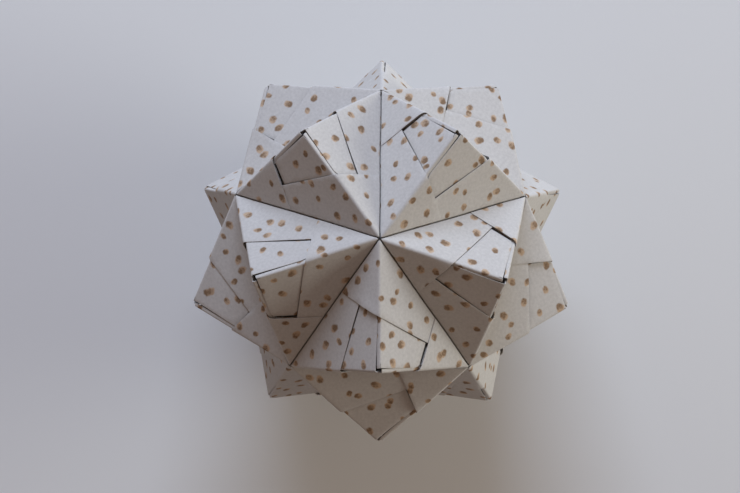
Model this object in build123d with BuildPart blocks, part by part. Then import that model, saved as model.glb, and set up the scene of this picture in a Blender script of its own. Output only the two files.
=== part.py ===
from build123d import *
import math
import os

os.makedirs("parts", exist_ok=True)

# Driving sizes, in millimetres
paper_side = 150.0      # side of each square of paper before it is folded
sheet = 0.10            # thickness of one layer of paper
slack = 0.04            # air between layers that only lie on each other
slit = 1.3              # how far a tucked-in tab stops short of the ridge
ridge_back = 0.5        # how far a face stops short of the ridge that its neighbour wraps over
fold_width = 0.30       # width of the doubled strip along a folded edge
middle_bend = 0.50      # flat across the ridge on the outside of the square's middle
end_bend = 0.60         # flat across the ridge on the outside of the folded end
gate_bend = 0.85        # flat across the ridge on the outside of the gate

# Layers of paper in each leaf of the folded unit
middle_layers = 2       # the square's middle and the gate that lies inside it, on a face
tab_layers = 1          # the square's middle, out on the tab
end_layers = 2          # the square's folded end, turned over onto its middle
gate_layers = 2         # the gate that makes the pocket

# Units round each ring of the ball
points_per_ring = 5

# The folded unit: its valley, the leg of each of its right triangles, and its pocket's mouth
valley = paper_side / 2
leg = valley / math.sqrt(2)
mouth_slope = math.tan(math.radians(22.5))
mouth = leg * mouth_slope

# The icosahedron whose edges are the valleys
golden = (1 + math.sqrt(5)) / 2
valley_radius = valley * golden / 2
apex_radius = valley * (golden ** 2 / math.sqrt(12) + 1 / math.sqrt(6))
apex_lean = math.atan(1 / golden ** 2)

# Heights of the leaves over a face, from the innermost paper outwards
middle_top = middle_layers * sheet
end_base = middle_top + slack
end_top = end_base + end_layers * sheet
tab_base = end_top + slack
tab_top = tab_base + tab_layers * sheet
cover_base = tab_top + slack
cover_top = cover_base + end_layers * sheet
flap_base = cover_top + slack
flap_top = flap_base + gate_layers * sheet
gate_base = flap_top + slack
gate_top = gate_base + gate_layers * sheet

# The corners of the left-hand face: the pyramid's apex and the two ends of the valley
apex = Vector(-apex_radius * math.sin(apex_lean), 0, apex_radius * math.cos(apex_lean))
near_corner = Vector(0, -valley / 2, valley_radius)
far_corner = Vector(0, valley / 2, valley_radius)
ridge_way = (near_corner - apex).normalized()
side_way = (far_corner - apex).normalized()
face_way = ridge_way.cross(side_way)
valley_slope = math.atan2(apex.Z - valley_radius, -apex.X)

# Each panel is drawn from the apex, on its own face or on the next face over the ridge
face_plane = Plane(origin=apex, x_dir=ridge_way, z_dir=face_way)
tab_plane = Plane(origin=apex, x_dir=-face_way, z_dir=-side_way)
ridge_axis = Axis(apex, ridge_way)
outward_axis = Axis(apex, face_way - side_way)

# A tab's outer edge draws back from the next valley far enough to clear the wall there
edge_back = math.sqrt(2) * (flap_top * math.tan(valley_slope) + sheet + slack)
tab_edge = leg - edge_back
strip_back = math.sqrt(2) * fold_width
end_edge = tab_edge - strip_back - math.sqrt(2) * slack


def panel(plane, base, top, corners):
    """A flat panel of folded paper between two heights over a face"""
    with BuildSketch(plane.offset(base)) as outline:
        with BuildLine():
            Polyline(*corners, close=True)
        make_face()
    extrude(outline.sketch, amount=top - base)


def soften_ridge(bend, flat, thickness):
    """Take the corner off a fold over the ridge, inside and outside, and keep its thickness"""
    inner = bend.edges().filter_by(ridge_axis).sort_by(outward_axis)[-2]
    chamfer(inner, flat - thickness * (2 - math.sqrt(2)))
    outer = bend.edges().filter_by(ridge_axis).sort_by(outward_axis)[-1]
    chamfer(outer, flat)


# The middle of the square: a half-square face, bent square over the ridge into the tab
with BuildPart() as middle:
    panel(face_plane, 0, middle_top, [
        (slit, -tab_top),
        (tab_edge, -tab_top),
        (tab_edge, leg - tab_edge),
        (leg - tab_edge, tab_edge),
        (ridge_back, tab_edge),
        (ridge_back, slit),
        (slit, 0),
    ])
    split(bisect_by=Plane.YZ, keep=Keep.BOTTOM)
    panel(tab_plane, tab_base, tab_top, [
        (-middle_top, slit),
        (-middle_top, tab_edge),
        (0, tab_edge),
        (tab_edge - slit, slit),
    ])
    soften_ridge(middle, middle_bend, tab_layers * sheet)

# The end of the square, turned over onto the middle, with its free edges at the two valleys
with BuildPart() as folded_end:
    panel(face_plane, end_base, end_top, [
        (slit, -cover_top),
        (end_edge, -cover_top),
        (end_edge, leg - end_edge),
        (leg - tab_edge, tab_edge),
        (ridge_back, tab_edge),
        (ridge_back, slit),
        (slit, 0),
    ])
    split(bisect_by=Plane.YZ.offset(-sheet / 2 - slack), keep=Keep.BOTTOM)
    panel(tab_plane, cover_base, cover_top, [
        (-end_top, slit),
        (-end_top, end_edge),
        (0, end_edge),
        (end_edge - slit, slit),
    ])
    soften_ridge(folded_end, end_bend, end_layers * sheet)

# The fold between the middle and its turned-over end, along the face's other ridge and the tab
with BuildPart() as end_fold:
    panel(face_plane, 0, end_top, [
        (ridge_back, slit),
        (ridge_back, tab_edge),
        (ridge_back + fold_width, tab_edge),
        (ridge_back + fold_width, slit),
    ])
    panel(tab_plane, tab_base, cover_top, [
        (0, slit),
        (0, slit + fold_width),
        (end_edge - slit - fold_width, slit + fold_width),
        (end_edge - slit, slit),
    ])

# The gate over the pocket: a folded band that crosses its face and runs on over the tab
with BuildPart() as gate:
    panel(face_plane, gate_base, gate_top, [
        (mouth, -flap_top),
        (tab_edge, -flap_top),
        (tab_edge, leg - tab_edge),
        (leg - mouth, mouth),
        (mouth, 0),
    ])
    split(bisect_by=Plane.YZ, keep=Keep.BOTTOM)
    panel(tab_plane, flap_base, flap_top, [
        (-gate_top, mouth),
        (-gate_top, tab_edge),
        (0, tab_edge),
        (tab_edge - slit, slit),
        ((mouth - slit) / mouth_slope, slit),
        (0, mouth),
    ])
    soften_ridge(gate, gate_bend, gate_layers * sheet)

# The fold along the tab's outer edge, which joins the gate to the middle of the square
with BuildPart() as edge_fold:
    panel(tab_plane, tab_base, flap_top, [
        (0, tab_edge),
        (tab_edge - slit, slit),
        (tab_edge - slit - strip_back, slit),
        (0, tab_edge - strip_back),
    ])

# The wall at the valley, where the gate dives between two tabs to the bottom of the crease
wall_start = math.sqrt(2) * (leg - tab_edge) - valley / 2
wall_end = mouth_slope * valley - valley / 2
wall_base = valley_radius + middle_top / 2 / math.cos(valley_slope)
wall_top = valley_radius + gate_top / math.cos(valley_slope)
with BuildPart() as wall:
    with BuildSketch(Plane.XY.offset(wall_base)):
        with Locations((0, (wall_start + wall_end) / 2)):
            Rectangle(sheet, wall_end - wall_start)
    extrude(amount=wall_top - wall_base)

# The whole unit: one half, and the same half turned end for end about the valley's middle
with BuildPart() as half:
    for leaf in (middle, folded_end, end_fold, gate, edge_fold, wall):
        add(leaf.part)
with BuildPart() as unit:
    add(half.part)
    add(half.part.rotate(Axis.Z, 180))

# The twelve five-way corners: one on top, two staggered rings of five, one at the base
pole_radius = valley * math.sqrt(golden * math.sqrt(5)) / 2
ring_height = pole_radius / math.sqrt(5)
ring_radius = 2 * ring_height
step = 360 / points_per_ring


def ring_point(turn, height):
    """A five-way corner on one of the two rings, a number of steps round from the front"""
    angle = math.radians(90 - turn * step)
    return Vector(ring_radius * math.cos(angle), ring_radius * math.sin(angle), height)


def seated(start, end):
    """The unit with its valley between two five-way corners"""
    out = (start + end).normalized()
    along = (end - start).normalized()
    seat = Plane(origin=(0, 0, 0), x_dir=along.cross(out), z_dir=out)
    return unit.part.moved(seat.location)


# Thirty units, one for each valley, in rings from the top of the ball to its base
pole = Vector(0, 0, pole_radius)
upper = [ring_point(turn, ring_height) for turn in range(points_per_ring)]
lower = [ring_point(turn + 0.5, -ring_height) for turn in range(points_per_ring)]
units = {}
for i in range(points_per_ring):
    after = (i + 1) % points_per_ring
    units[f"unit_top_{i + 1}"] = seated(pole, upper[i])
    units[f"unit_upper_{i + 1}"] = seated(upper[i], upper[after])
    units[f"unit_waist_{2 * i + 1}"] = seated(upper[i], lower[i])
    units[f"unit_waist_{2 * i + 2}"] = seated(lower[i], upper[after])
    units[f"unit_lower_{i + 1}"] = seated(lower[i], lower[after])
    units[f"unit_bottom_{i + 1}"] = seated(lower[i], -pole)

# The ball stands on its lowest five-way corner
lowest = min(piece.bounding_box().min.Z for piece in units.values())
for name, piece in units.items():
    standing = piece.moved(Location((0, 0, -lowest)))
    standing.label = name
    export_step(standing, f"parts/{name}.step")
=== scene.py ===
import math
import random

import bmesh
import bpy
from mathutils import Matrix, Vector
from mathutils.noise import noise_vector as noise_way, seed_set


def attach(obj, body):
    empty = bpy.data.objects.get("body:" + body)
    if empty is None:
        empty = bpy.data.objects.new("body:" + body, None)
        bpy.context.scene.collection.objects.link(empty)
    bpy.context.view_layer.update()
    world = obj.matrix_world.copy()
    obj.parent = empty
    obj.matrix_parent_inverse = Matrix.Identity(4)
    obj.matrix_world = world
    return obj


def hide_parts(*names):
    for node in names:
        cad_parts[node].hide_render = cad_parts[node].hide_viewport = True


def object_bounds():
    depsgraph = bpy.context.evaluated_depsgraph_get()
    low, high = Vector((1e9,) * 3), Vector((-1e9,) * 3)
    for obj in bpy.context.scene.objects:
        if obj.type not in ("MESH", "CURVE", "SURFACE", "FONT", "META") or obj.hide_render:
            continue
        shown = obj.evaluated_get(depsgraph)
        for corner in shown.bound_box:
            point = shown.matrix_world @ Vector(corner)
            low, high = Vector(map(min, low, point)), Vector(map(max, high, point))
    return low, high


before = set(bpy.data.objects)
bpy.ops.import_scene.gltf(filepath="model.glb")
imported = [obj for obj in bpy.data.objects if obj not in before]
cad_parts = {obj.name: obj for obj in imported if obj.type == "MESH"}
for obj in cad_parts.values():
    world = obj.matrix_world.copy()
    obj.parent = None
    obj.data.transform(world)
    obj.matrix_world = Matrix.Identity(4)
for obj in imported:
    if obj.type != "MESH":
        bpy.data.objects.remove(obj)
cad_low, cad_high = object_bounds()
bpy.ops.object.select_all(action="DESELECT")

# The camera looks almost straight down on the five-way corner at the top of the ball,
# from arm's length, through a short telephoto lens.
camera_place = (0.00415, -0.02522, 0.70716)
camera_turn = (2.2367, 0.8002, 0.4085)
camera_lens = 69.0
bpy.ops.object.camera_add(location=camera_place, rotation=[math.radians(angle) for angle in camera_turn])
camera = bpy.context.object
camera.data.lens = camera_lens
camera.data.sensor_width = 36.0
bpy.context.scene.camera = camera
bpy.context.scene.view_settings.view_transform = "Standard"

# The ball stands on a plain pale floor, under a broad cool window light from the top of
# the picture, a weaker one from low on the right, and a dim warm room all round.
floor_side = 6.0
floor_colour = (0.70, 0.71, 0.71, 1.0)
floor_roughness = 0.9
light_distance = 1.6
window_colour = (0.69, 0.80, 1.0)
lamp_colour = (0.98, 0.99, 0.92)
room_colour = (1.0, 0.72, 0.57, 1.0)
room_light = 0.22
bpy.ops.mesh.primitive_plane_add(size=floor_side)
floor = bpy.context.object
floor.name = "floor"
floor_paint = bpy.data.materials.new("floor_paint")
floor_paint.use_nodes = True
floor_shader = floor_paint.node_tree.nodes["Principled BSDF"]
floor_shader.inputs["Base Color"].default_value = floor_colour
floor_shader.inputs["Roughness"].default_value = floor_roughness
floor.data.materials.append(floor_paint)


def soft_light(name, bearing, height, size, power, colour):
    """A broad light that faces the ball, by its bearing and its height in degrees"""
    way = Vector((
        math.cos(math.radians(height)) * math.cos(math.radians(bearing)),
        math.cos(math.radians(height)) * math.sin(math.radians(bearing)),
        math.sin(math.radians(height)),
    ))
    centre = (Vector(cad_low) + Vector(cad_high)) / 2
    bpy.ops.object.light_add(
        type="AREA",
        location=centre + way * light_distance,
        rotation=way.to_track_quat("Z", "Y").to_euler(),
    )
    lamp = bpy.context.object
    lamp.name = name
    lamp.data.size = size
    lamp.data.energy = power
    lamp.data.color = colour


soft_light("window", bearing=95.0, height=30.0, size=1.0, power=27.5, colour=window_colour)
soft_light("lamp", bearing=0.0, height=14.0, size=0.7, power=13.2, colour=lamp_colour)
room = bpy.context.scene.world or bpy.data.worlds.new("room")
bpy.context.scene.world = room
room.use_nodes = True
room_shader = room.node_tree.nodes["Background"]
room_shader.inputs["Color"].default_value = room_colour
room_shader.inputs["Strength"].default_value = room_light

# The paper comes as thirty squares, cut side by side from one printed sheet, and the
# pattern of brush dots runs on over the folds of each square and stops at its edges. The
# sizes of the dots and of the grain are in millimetres on the flat paper.
paper_side = 0.150
quarters = 4
quarter = paper_side / quarters
dot_spacing = 9.4
dot_scatter = 0.82
dot_length = 3.9
dot_width = 3.1
paper_light = (0.625, 0.607, 0.583, 1.0)
paper_dark = (0.405, 0.392, 0.376, 1.0)
dot_light = (0.49, 0.355, 0.24, 1.0)
dot_dark = (0.19, 0.112, 0.055, 1.0)
dot_strength = 0.94
least_dot = 0.76
dot_spread = 0.42
dot_edge = (0.74, 1.18)
ragged_grain = 2.4
ragged = 0.60
frayed_grain = 0.6
frayed = 0.08

# How wet the brush was in each dot: to one side, in blotches, at the rim and on the whole
ink_to_side = 0.5
ink_grain = 1.1
ink_blotch = 1.2
ink_at_rim = 0.4
ink_rim = (0.40, 1.0)
ink_of_dot = 0.4
ink_range = (0.5, 1.5)

# The paper's own grain, from its cloudy mottle to its fibres, and how rough and deep it is
mottle_grain = 6.0
mottle_share = 0.15
paper_grain = 1.3
paper_share = 0.55
fibre_grain = 0.45
fibre_share = 0.3
tooth_grain = 0.30
tooth_share = 0.7
tooth_mottle = 0.6
tooth_strength = 0.25
tooth_depth = 0.0001
paper_shine = 0.3
paper_roughness = 0.80
fibre_roughness = 0.12


class Tone:
    """One socket of a material, which can stand in a sum"""

    def __init__(self, tree, socket=None):
        self.tree = tree
        self.socket = socket

    def node(self, kind, settings, values, output=0):
        """Any node, by its type, its settings, and the values or links of its sockets"""
        made = self.tree.nodes.new(kind)
        for name, setting in settings.items():
            setattr(made, name, setting)
        for name, value in values.items():
            if isinstance(value, Tone):
                self.tree.links.new(value.socket, made.inputs[name])
            else:
                made.inputs[name].default_value = value
        return Tone(self.tree, made.outputs[output])

    def maths(self, operation, first, second):
        """One step of arithmetic on two sockets or plain numbers"""
        return self.node("ShaderNodeMath", {"operation": operation}, {0: first, 1: second})

    def __add__(self, other):
        return self.maths("ADD", self, other)

    __radd__ = __add__

    def __mul__(self, other):
        return self.maths("MULTIPLY", self, other)

    __rmul__ = __mul__

    def __sub__(self, other):
        return self.maths("SUBTRACT", self, other)

    def __rsub__(self, other):
        return self.maths("SUBTRACT", other, self)

    def __truediv__(self, other):
        return self.maths("DIVIDE", self, other)


def scaled(vector, factor):
    """A vector, longer or shorter by a factor"""
    return vector.node("ShaderNodeVectorMath", {"operation": "SCALE"}, {0: vector, 3: factor})


def noise(vector, grain, detail=2.0):
    """Soft noise whose blotches are about one grain across, from 0 to 1"""
    return vector.node(
        "ShaderNodeTexNoise",
        {"noise_dimensions": "2D"},
        {"Vector": vector, "Scale": 1.0 / grain, "Detail": detail},
    )


def step(value, low, high):
    """A soft step from 0 at one value to 1 at the other"""
    return value.node(
        "ShaderNodeMapRange",
        {"interpolation_type": "SMOOTHSTEP"},
        {0: value, 1: low, 2: high, 3: 0.0, 4: 1.0},
    )


def blended(share, first, second):
    """One colour mixed into another"""
    return share.node("ShaderNodeMix", {"data_type": "RGBA"}, {0: share, 6: first, 7: second}, 2)


def dotted_paper():
    """Beige uncoated paper with a warm printed pattern of brush dots"""
    material = bpy.data.materials.new("dotted_paper")
    material.use_nodes = True
    tree = material.node_tree
    shader = tree.nodes["Principled BSDF"]
    start = Tone(tree)
    flat = start.node("ShaderNodeUVMap", {"uv_map": "flat_paper"}, {})
    place = scaled(flat, quarter * 1000)

    cell = scaled(place, 1 / dot_spacing)
    settings = {"voronoi_dimensions": "2D", "feature": "F1"}
    values = {"Vector": cell, "Scale": 1.0, "Randomness": dot_scatter}
    chance = start.node("ShaderNodeTexVoronoi", settings, values, 1)
    nearest = start.node("ShaderNodeTexVoronoi", settings, values, 2)
    chances = [start.node("ShaderNodeSeparateColor", {}, {0: chance}, k) for k in range(3)]
    away = start.node("ShaderNodeVectorMath", {"operation": "SUBTRACT"}, {0: cell, 1: nearest})
    turned = start.node(
        "ShaderNodeVectorRotate",
        {"rotation_type": "Z_AXIS"},
        {"Vector": away, "Angle": chances[0] * math.tau},
    )
    size = (dot_spacing * 2 / dot_length, dot_spacing * 2 / dot_width, 0.0)
    inside = start.node("ShaderNodeVectorMath", {"operation": "MULTIPLY"}, {0: turned, 1: size})
    reach = start.node("ShaderNodeVectorMath", {"operation": "LENGTH"}, {0: inside}, 1)
    side = start.node("ShaderNodeSeparateXYZ", {}, {0: inside}, 0)
    edge = reach / (least_dot + chances[1] * dot_spread)
    edge = edge + (noise(place, ragged_grain, 1.0) - 0.5) * ragged
    edge = edge + (noise(place, frayed_grain) - 0.5) * frayed
    dot = 1 - step(edge, *dot_edge)
    rim = step(edge, *ink_rim)

    mottle = noise(place, mottle_grain, 4.0)
    fibres = noise(place, fibre_grain, 3.0)
    grain = noise(place, paper_grain, 2.0)
    wetness = side * ink_to_side + noise(place, ink_grain) * ink_blotch
    wetness = wetness + rim * ink_at_rim + chances[2] * ink_of_dot
    ink = step(wetness, *ink_range)
    tone = mottle * mottle_share + grain * paper_share + fibres * fibre_share
    paper = blended(tone, paper_dark, paper_light)
    colour = blended(dot * dot_strength, paper, blended(ink, dot_dark, dot_light))
    tree.links.new(colour.socket, shader.inputs["Base Color"])

    rough = paper_roughness + fibres * fibre_roughness
    tree.links.new(rough.socket, shader.inputs["Roughness"])
    shader.inputs["Specular IOR Level"].default_value = paper_shine
    tooth = noise(place, tooth_grain, 3.0) * tooth_share + mottle * tooth_mottle
    values = {"Strength": tooth_strength, "Distance": tooth_depth, "Height": tooth}
    bump = start.node("ShaderNodeBump", {}, values)
    tree.links.new(bump.socket, shader.inputs["Normal"])
    return material


printed_paper = dotted_paper()

# Every folded unit is one square of that paper, and its valley is half of the square's
# side. Each half of it has a face, a right triangle whose own fold over the ridge leads
# out to a tab on the next face. A pocket's mouth crosses the face at 22.5 degrees.
valley = paper_side / 2
leg = valley / math.sqrt(2)
mouth_lean = math.tan(math.radians(22.5))
mouth = leg * mouth_lean
golden = (1 + math.sqrt(5)) / 2
valley_radius = valley * golden / 2
apex_radius = valley * (golden ** 2 / math.sqrt(12) + 1 / math.sqrt(6))
apex_lean = math.atan(1 / golden ** 2)
apex = Vector((-apex_radius * math.sin(apex_lean), 0, apex_radius * math.cos(apex_lean)))
near_corner = Vector((0, -valley / 2, valley_radius))
far_corner = Vector((0, valley / 2, valley_radius))
ridge_way = (near_corner - apex).normalized()
side_way = (far_corner - apex).normalized()
face_way = ridge_way.cross(side_way)
valley_slope = math.atan2(apex.z - valley_radius, -apex.x)
face_frame = Matrix((ridge_way, side_way, face_way)).transposed().to_4x4()
face_frame.translation = apex
third_corner = apex - face_way * leg
tab_valley_way = near_corner.cross(third_corner).normalized()

# The turned-over end of the square covers the face, runs over the ridge and shows again
# on the next face as the tip of the tab, between the other two ridges and the pockets.
# Each leaf is cut out flat, with its ridge along X, and then folded over that ridge. Its
# height is that of its outer side over the face, and over the next face on the tab.
end_thickness = 0.00034
end_height = 0.00044
end_on_tab = 0.00082
end_bend = 0.0008
end_tip = leg - 0.0012
gate_height = 0.00150
gate_on_tab = 0.00116

# The slit that the tab leaves beside the next ridge, and how the leaf is cut back at the
# apex, where three ridges meet
slit = 0.0013
slit_at_apex = 0.0017
tab_corner = 0.0004
ridge_start = 0.0013
ridge_notch = 0.008
ridge_trim = 0.0004

# The air at the tab's hem and at the valley, and what the last cut there takes off
hem_gap = 0.00031
valley_gap = 0.00004
spare = 0.0010

# How finely the paper is divided, and how round its folds and its edges come out
cell_size = 0.0026
shortest_edge = 0.0006
bend_steps = 3
rounding = 0.4
rounding_steps = 2
rounded_from = math.radians(60)
on_the_line = 1e-6
ridge = ((0.0, 0.0), (leg, 0.0))


def beyond(point, line):
    """How far a point of a flat leaf lies to the right of a line through two points"""
    start, end = Vector(line[0]), Vector(line[1])
    along = (end - start).normalized()
    return along.y * (point.x - start.x) - along.x * (point.y - start.y)


def beside(line, distance):
    """The line that runs to the right of another, so far from it"""
    start, end = Vector(line[0]), Vector(line[1])
    along = (end - start).normalized()
    across = Vector((along.y, -along.x)) * distance
    return (tuple(start + across), tuple(end + across))


def bend_lines(line, angle, radius):
    """The lines that a soft bend needs along its fold, to come out round"""
    reach = radius * math.tan(angle / 2)
    return [beside(line, reach * (k / bend_steps - 1)) for k in range(2 * bend_steps + 1)]


def cut_along(leaf, line, away, part=None):
    """Cut a flat leaf along a line, and take away what lies to the right of it if asked"""
    across = Vector((line[1][1] - line[0][1], line[0][0] - line[1][0], 0)).normalized()
    mesh = bmesh.from_edit_mesh(leaf.data)
    for face in mesh.faces:
        face.select = part is None or beyond(face.calc_center_median(), part) > 0
    bmesh.update_edit_mesh(leaf.data)
    bpy.ops.mesh.bisect(
        plane_co=(line[0][0], line[0][1], 0), plane_no=across, clear_outer=away,
        threshold=on_the_line,
    )


def on_line(point, line):
    """Whether a point of a flat leaf lies on a line"""
    return abs(beyond(point.co, line)) < on_the_line


def tidied(mesh, rims, bends):
    """Merge the short edges that the cuts left, and keep the rims and the bends straight"""
    on = {point: {line for line in bends if on_line(point, line)} for point in mesh.verts}
    for edge in mesh.edges:
        if edge.is_boundary:
            ends = edge.verts
            shared = {line for line in rims if on_line(ends[0], line) and on_line(ends[1], line)}
            on[ends[0]] |= shared
            on[ends[1]] |= shared
    moved = {}
    kept = set()
    for edge in sorted(mesh.edges, key=lambda edge: edge.calc_length()):
        if edge.calc_length() > shortest_edge:
            break
        loose, firm = sorted(edge.verts, key=lambda point: len(on[point]))
        if on[loose] <= on[firm] and not {loose, firm} & set(moved) and loose not in kept:
            moved[loose] = firm
            kept.add(firm)
    bmesh.ops.weld_verts(mesh, targetmap=moved)


def laid_out(name, outline, lines, has_tab=False, slots=()):
    """A leaf of paper lying flat, cut to its outline: along the ridge in X and across it in Y"""
    cells = 2 * round(leg / cell_size)
    bpy.ops.mesh.primitive_grid_add(
        x_subdivisions=cells, y_subdivisions=cells, size=cells * cell_size, location=(leg / 2, 0, 0)
    )
    leaf = bpy.context.object
    leaf.name = name
    bpy.ops.object.transform_apply(location=True)
    bpy.ops.object.mode_set(mode="EDIT")
    sides = list(zip(outline, outline[1:] + outline[:1]))
    for side in sides:
        cut_along(leaf, side, True)
    for line in lines:
        cut_along(leaf, line, False)
    if has_tab:
        sides.append(((slit_at_apex, 0.0), (slit, -mouth)))
        cut_along(leaf, sides[-1], True, beside(ridge, tab_corner))
        sides.append(((ridge_trim, ridge_notch), (ridge_start, 0.0)))
        cut_along(leaf, sides[-1], True, beside(ridge[::-1], -tab_corner))
    rims = [list(zip(slot, slot[1:] + slot[:1])) for slot in slots]
    for rim in rims:
        part = ridge if rim[0][0][1] < 0 else ridge[::-1]
        for side in rim:
            cut_along(leaf, side, False, part)
    mesh = bmesh.from_edit_mesh(leaf.data)
    inside = [
        face for face in mesh.faces
        if any(all(beyond(face.calc_center_median(), side) < 0 for side in rim) for rim in rims)
    ]
    bmesh.ops.delete(mesh, geom=inside, context="FACES")
    tidied(mesh, sides + sum(rims, []), lines)
    bmesh.update_edit_mesh(leaf.data)
    bpy.ops.object.mode_set(mode="OBJECT")
    return leaf


def printed(leaf, across, along, start):
    """Say which part of the flat square a leaf is: its start, and what its X and Y are there"""
    while leaf.data.uv_layers:
        leaf.data.uv_layers.remove(leaf.data.uv_layers[0])
    flat = leaf.data.uv_layers.new(name="flat_paper")
    for loop in leaf.data.loops:
        place = leaf.data.vertices[loop.vertex_index].co / leg
        flat.data[loop.index].uv = start + across * place.x + along * place.y


def folded(leaf, line, angle, radius):
    """Fold what lies to the right of a line down by an angle, round a soft bend"""
    start = Vector((line[0][0], line[0][1], 0))
    along = Vector((line[1][0] - line[0][0], line[1][1] - line[0][1], 0)).normalized()
    across = Vector((along.y, -along.x, 0))
    up = Vector((0, 0, 1))
    reach = radius * math.tan(angle / 2)
    for vertex in leaf.data.vertices:
        place = vertex.co - start
        side = place.dot(across)
        if side >= reach:
            vertex.co = start + Matrix.Rotation(angle, 3, along) @ place
        elif side > -reach:
            turn = angle * (side + reach) / (2 * reach)
            centre = start + along * place.dot(along) - across * reach - up * radius
            vertex.co = centre + (across * math.sin(turn) + up * math.cos(turn)) * (radius + place.z)


def trimmed(leaf, point, way):
    """Cut away what lies beyond a plane, with the leaf already seated in the unit"""
    bpy.ops.object.mode_set(mode="EDIT")
    bpy.ops.mesh.select_all(action="SELECT")
    bpy.ops.mesh.bisect(plane_co=point, plane_no=way, clear_outer=True, threshold=on_the_line)
    bpy.ops.object.mode_set(mode="OBJECT")


def thickened(leaf, thickness):
    """Give the leaf its layers of paper, inwards from its outer face, with rounded edges"""
    solid = leaf.modifiers.new("layers", "SOLIDIFY")
    solid.thickness = thickness
    solid.offset = -1
    bpy.ops.object.modifier_apply(modifier="layers")
    soft = leaf.modifiers.new("edges", "BEVEL")
    soft.width = thickness * rounding
    soft.segments = rounding_steps
    soft.limit_method = "ANGLE"
    soft.angle_limit = rounded_from
    soft.use_clamp_overlap = False
    soft.loop_slide = False
    bpy.ops.object.modifier_apply(modifier="edges")


def seated_on_face(leaf, height, height_on_tab):
    """Move a folded leaf from the bench to its height over the face and over the tab"""
    leaf.data.transform(face_frame @ Matrix.Translation((0, -height_on_tab, height)))


# Beside the next gate's mouth and hem, and inside the ridge, the leaf is cut away, so that
# one looks down between the layers. Each gap widens along its edge, and runs in under it.
mouth_foot = mouth + mouth_lean * gate_on_tab
hem_foot = mouth - mouth_lean * gate_height
mouth_start = 0.0016
mouth_widths = (0.0004, 0.0010)
hem_start = 0.0012
hem_end = leg / 2 - 0.0002
hem_widths = (0.00008, 0.0004)
slit_end = mouth + 0.0008
slit_near = (0.00095, 0.00115)
slit_far = (0.0026, 0.0023)
under = 0.0009


def gap_beside(line, starts, ends, widths):
    """The outline of a gap beside an edge whose line gives one distance from the other"""
    return [
        (starts, line(starts) - widths[0]),
        (ends, line(ends) - widths[1]),
        (ends, line(ends) + under),
        (starts, line(starts) + under),
    ]


def mouth_line(side):
    """Where a pocket's mouth lies along the ridge, so far from it"""
    return mouth_foot + mouth_lean * side


def hem_line(along):
    """How far the tab's hem lies from the ridge, so far along it"""
    return hem_foot - mouth_lean * along


mouth_slot = gap_beside(mouth_line, mouth_start, leg / 2 * mouth_lean, mouth_widths)
hem_slot = gap_beside(hem_line, hem_start, hem_end, hem_widths)
slit_slot = [
    (0.0, slit_near[0]), (slit_end, slit_near[1]), (slit_end, slit_far[1]), (0.0, slit_far[0])
]
slots = [[(along, side) for side, along in mouth_slot[::-1]], hem_slot, slit_slot]
own_slots = [[(along, side + end_on_tab) for along, side in corners] for corners in slots]
tab_slots = [[(side, -along - end_height) for along, side in corners] for corners in slots[:2]]
end_side = leg + spare + end_on_tab
end_hem = leg + spare + end_height
end_leaf = laid_out("end_leaf", [
    (ridge_trim, ridge_trim - end_hem),
    (end_tip, end_tip - end_hem),
    (end_tip, end_side - end_tip),
    (ridge_trim, end_side - ridge_trim),
], bend_lines(ridge, math.pi / 2, end_bend), True, own_slots + tab_slots)
printed(end_leaf, Vector((-1, 1)), Vector((1, 1)), Vector((1, 2)))

# The layers lie closer in some pockets than in others, so each edge of the tab beside a
# gap is told what share of the change is its own, from one end of the edge to the other.
least_share = 0.001
tab_edges = (
    ("mouth_gap", (tab_slots[0][3], tab_slots[0][2]), 0.4, 1.0),
    ("hem_gap", (tab_slots[1][0], tab_slots[1][1]), 0.2, 1.0),
    ("slit_gap", ((slit_at_apex, 0.0), (slit, -mouth)), 0.4, 1.0),
)
for name, line, first, last in tab_edges:
    group = end_leaf.vertex_groups.new(name=name)
    start, end = Vector(line[0]), Vector(line[1])
    for vertex in end_leaf.data.vertices:
        along = (vertex.co.xy - start).dot(end - start) / (end - start).length_squared
        if on_line(vertex, line) and -least_share < along < 1 + least_share:
            group.add([vertex.index], first + (last - first) * along, "REPLACE")
folded(end_leaf, ridge, math.pi / 2, end_bend)
seated_on_face(end_leaf, end_height, end_on_tab)
trimmed(end_leaf, (-valley_gap, 0, 0), (1, 0, 0))
trimmed(end_leaf, -tab_valley_way * hem_gap, tab_valley_way)
thickened(end_leaf, end_thickness)

# The gate is the folded band that makes the pocket: it crosses its own face, dives into
# the valley, and runs over the ridge onto the tab, where the next pocket takes it in.
gate_thickness = 0.00026
gate_bend = 0.0012
gate_tip = leg - 0.0007
wall_room = 0.00025
dive = 0.0013
dive_bend = 0.0006
dive_turn = math.pi / 2 - valley_slope
brink = leg + gate_on_tab - math.sqrt(2) * (
    gate_height * math.tan(valley_slope) + wall_room / math.cos(valley_slope)
)
brink_line = ((gate_tip, brink - gate_tip), (0.0, brink))
floor_line = brink + math.sqrt(2) * dive
mouth_end = (floor_line - mouth) / (1 + mouth_lean)
gate_hem = leg + spare + gate_height
gate_leaf = laid_out("gate_leaf", [
    (slit, slit - gate_hem),
    (gate_tip, gate_tip - gate_hem),
    (gate_tip, floor_line - gate_tip),
    (floor_line - mouth_end, mouth_end),
    (slit, (slit - mouth) / mouth_lean),
], bend_lines(ridge, math.pi / 2, gate_bend) + bend_lines(brink_line, dive_turn, dive_bend))
printed(gate_leaf, Vector((1, 1)), Vector((1, -1)), Vector((1, 0)))

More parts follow.
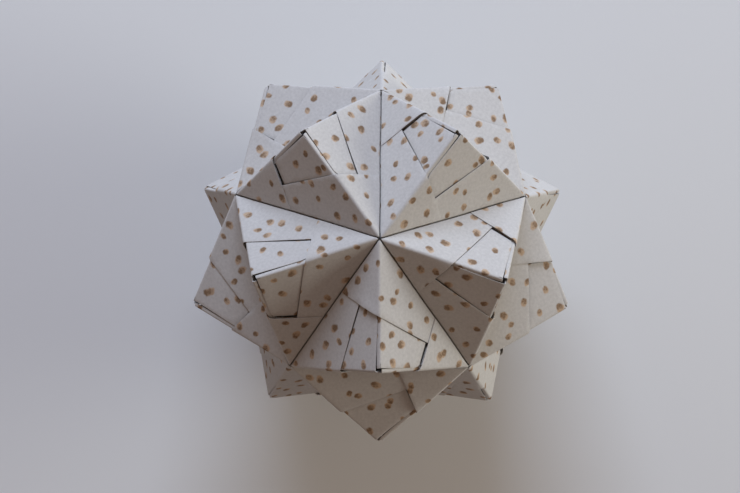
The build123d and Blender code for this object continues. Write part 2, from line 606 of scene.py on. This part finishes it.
# The gate's mouth stands open where the next tab went in, most of all between the ridge
# and that tab's hem, so each point is told what share of the lift is its own.
mouth_group = gate_leaf.vertex_groups.new(name="mouth")
tab_group = gate_leaf.vertex_groups.new(name="tab")
mouth_reach = 0.007
mouth_rise = (0.0, 0.14)
first_held = 0.7
first_hold = (0.42, 0.60)
last_held = 0.3
last_hold = (0.60, 1.0)
tab_rise = (0.006, 0.024)
tab_fall = (0.028, 0.036)


def eased(value, low, high):
    """A soft step from 0 at one value to 1 at the other"""
    share = min(max((value - low) / (high - low), 0.0), 1.0)
    return share * share * (3 - 2 * share)


for vertex in gate_leaf.data.vertices:
    inwards = vertex.co.x - mouth - mouth_lean * vertex.co.y
    along = vertex.co.y / mouth_end
    held = first_held * eased(along, *first_hold) + last_held * eased(along, *last_hold)
    share = eased(along, *mouth_rise) * (1 - held) * math.exp(-inwards / mouth_reach)
    if share > least_share:
        mouth_group.add([vertex.index], share, "REPLACE")
    out = -vertex.co.y
    share = eased(out, *tab_rise) * (1 - eased(out, *tab_fall))
    share *= math.exp(-max(inwards, 0.0) / mouth_reach)
    if share > least_share:
        tab_group.add([vertex.index], share, "REPLACE")
folded(gate_leaf, brink_line, dive_turn, dive_bend)
folded(gate_leaf, ridge, math.pi / 2, gate_bend)
seated_on_face(gate_leaf, gate_height, gate_on_tab)
trimmed(gate_leaf, -tab_valley_way * hem_gap, tab_valley_way)
thickened(gate_leaf, gate_thickness)

# The middle of the square lies slack behind both of them, and keeps the light out of the
# hollow ball where the layers stand apart. It is a plain triangle, set back from the ridges.
middle_depth = 0.004
middle_hem = leg + 0.002
middle_leaf = laid_out("middle_leaf", [
    (middle_depth, middle_depth),
    (middle_hem, middle_depth),
    (middle_depth, middle_hem),
], [])
printed(middle_leaf, Vector((-1, 1)), Vector((1, 1)), Vector((1, 2)))
seated_on_face(middle_leaf, -middle_depth, 0)
trimmed(middle_leaf, (-valley_gap / 2, 0, 0), (1, 0, 0))
thickened(middle_leaf, gate_thickness)

# One half of the unit is its middle, its end and its gate, and the whole unit is that half
# and the same half turned end for end, so that it has two pockets and two tabs.
smooth_angle = math.radians(25)
bpy.ops.object.select_all(action="DESELECT")
middle_leaf.select_set(True)
end_leaf.select_set(True)
gate_leaf.select_set(True)
bpy.context.view_layer.objects.active = gate_leaf
bpy.ops.object.join()
first_half = bpy.context.object
second_half = first_half.copy()
second_half.data = first_half.data.copy()
bpy.context.collection.objects.link(second_half)
second_half.data.transform(Matrix.Rotation(math.pi, 4, "Z"))
for corner in second_half.data.uv_layers["flat_paper"].data:
    corner.uv = Vector((quarters, quarters)) - corner.uv
for group in second_half.vertex_groups:
    group.name = "far_" + group.name
bpy.ops.object.select_all(action="DESELECT")
second_half.select_set(True)
first_half.select_set(True)
bpy.context.view_layer.objects.active = first_half
bpy.ops.object.join()
unit = bpy.context.object
unit.name = "folded_unit"
unit.data.materials.append(printed_paper)
bpy.ops.object.shade_smooth_by_angle(angle=smooth_angle)
unit.select_set(False)

# What differs from one unit of the ball to the next: how far each edge or gate moves at
# least and at most, which way, and the share of it that each point takes.
edge_moves = (
    ("mouth", face_way, 0.0003, 0.0009),
    ("tab", -side_way, 0.0001, 0.0004),
    ("mouth_gap", -face_way, 0.0, 0.0006),
    ("hem_gap", ridge_way, 0.0, 0.0004),
    ("slit_gap", -ridge_way, 0.0, 0.0011),
)
moves = []
for half, turn in (("", 0.0), ("far_", math.pi)):
    for group, way, least, most in edge_moves:
        index = unit.vertex_groups[half + group].index
        shares = [
            (vertex.index, member.weight)
            for vertex in unit.data.vertices for member in vertex.groups if member.group == index
        ]
        moves.append((Matrix.Rotation(turn, 3, "Z") @ way, least, most, shares))

# Thirty of these units hold each other in the ball, in rings from the top to the base,
# with every valley between two of the twelve five-way corners. The paper is never quite
# flat, and the corner that the ball stands on is pressed flat by its weight.
points_per_ring = 5
squares_in_row = 6
wave = 0.030
wave_height = 0.00035
still_height = 0.012
pressed = 0.0016
sunk = 0.00042
pole_radius = valley * math.sqrt(golden * math.sqrt(5)) / 2
ring_height = pole_radius / math.sqrt(5)
ring_radius = 2 * ring_height
centre_height = (cad_low[2] + cad_high[2]) / 2

# Both kinds of chance start from one seed, since the noise starts from the clock without one
seed = 30
draws = random.Random(seed)
seed_set(seed)


def ring_point(turn, height):
    """A five-way corner on one of the two rings, a number of steps round from the front"""
    angle = math.pi / 2 - turn * math.tau / points_per_ring
    return Vector((ring_radius * math.cos(angle), ring_radius * math.sin(angle), height))


def put_in(name, start, end):
    """One unit of the ball, with its valley between two five-way corners"""
    piece = unit.copy()
    piece.data = unit.data.copy()
    piece.name = name
    piece.data.name = name
    piece.vertex_groups.clear()
    bpy.context.collection.objects.link(piece)
    for way, least, most, shares in moves:
        move = draws.uniform(least, most)
        for index, share in shares:
            piece.data.vertices[index].co += way * (move * share)
    out = (start + end).normalized()
    along = (end - start).normalized()
    place = Matrix((along.cross(out), along, out)).transposed().to_4x4()
    place.translation = (0, 0, centre_height)
    piece.data.transform(place)
    for vertex in piece.data.vertices:
        swell = wave_height * eased(vertex.co.z, 0.0, still_height)
        vertex.co += noise_way(vertex.co / wave) * swell
        if vertex.co.z < pressed:
            vertex.co.z = pressed * (vertex.co.z + sunk) / (pressed + sunk)
    row, place_in_row = divmod(len(placed), squares_in_row)
    shift = Vector((place_in_row, row)) * quarters
    for corner in piece.data.uv_layers["flat_paper"].data:
        corner.uv += shift
    placed.append(piece)
    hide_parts(name)
    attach(piece, "root")


placed = []
pole = Vector((0, 0, pole_radius))
upper = [ring_point(turn, ring_height) for turn in range(points_per_ring)]
lower = [ring_point(turn + 0.5, -ring_height) for turn in range(points_per_ring)]
for i in range(points_per_ring):
    after = (i + 1) % points_per_ring
    put_in(f"unit_top_{i + 1}", pole, upper[i])
    put_in(f"unit_upper_{i + 1}", upper[i], upper[after])
    put_in(f"unit_waist_{2 * i + 1}", upper[i], lower[i])
    put_in(f"unit_waist_{2 * i + 2}", lower[i], upper[after])
    put_in(f"unit_lower_{i + 1}", lower[i], lower[after])
    put_in(f"unit_bottom_{i + 1}", lower[i], -pole)
bpy.data.objects.remove(unit)
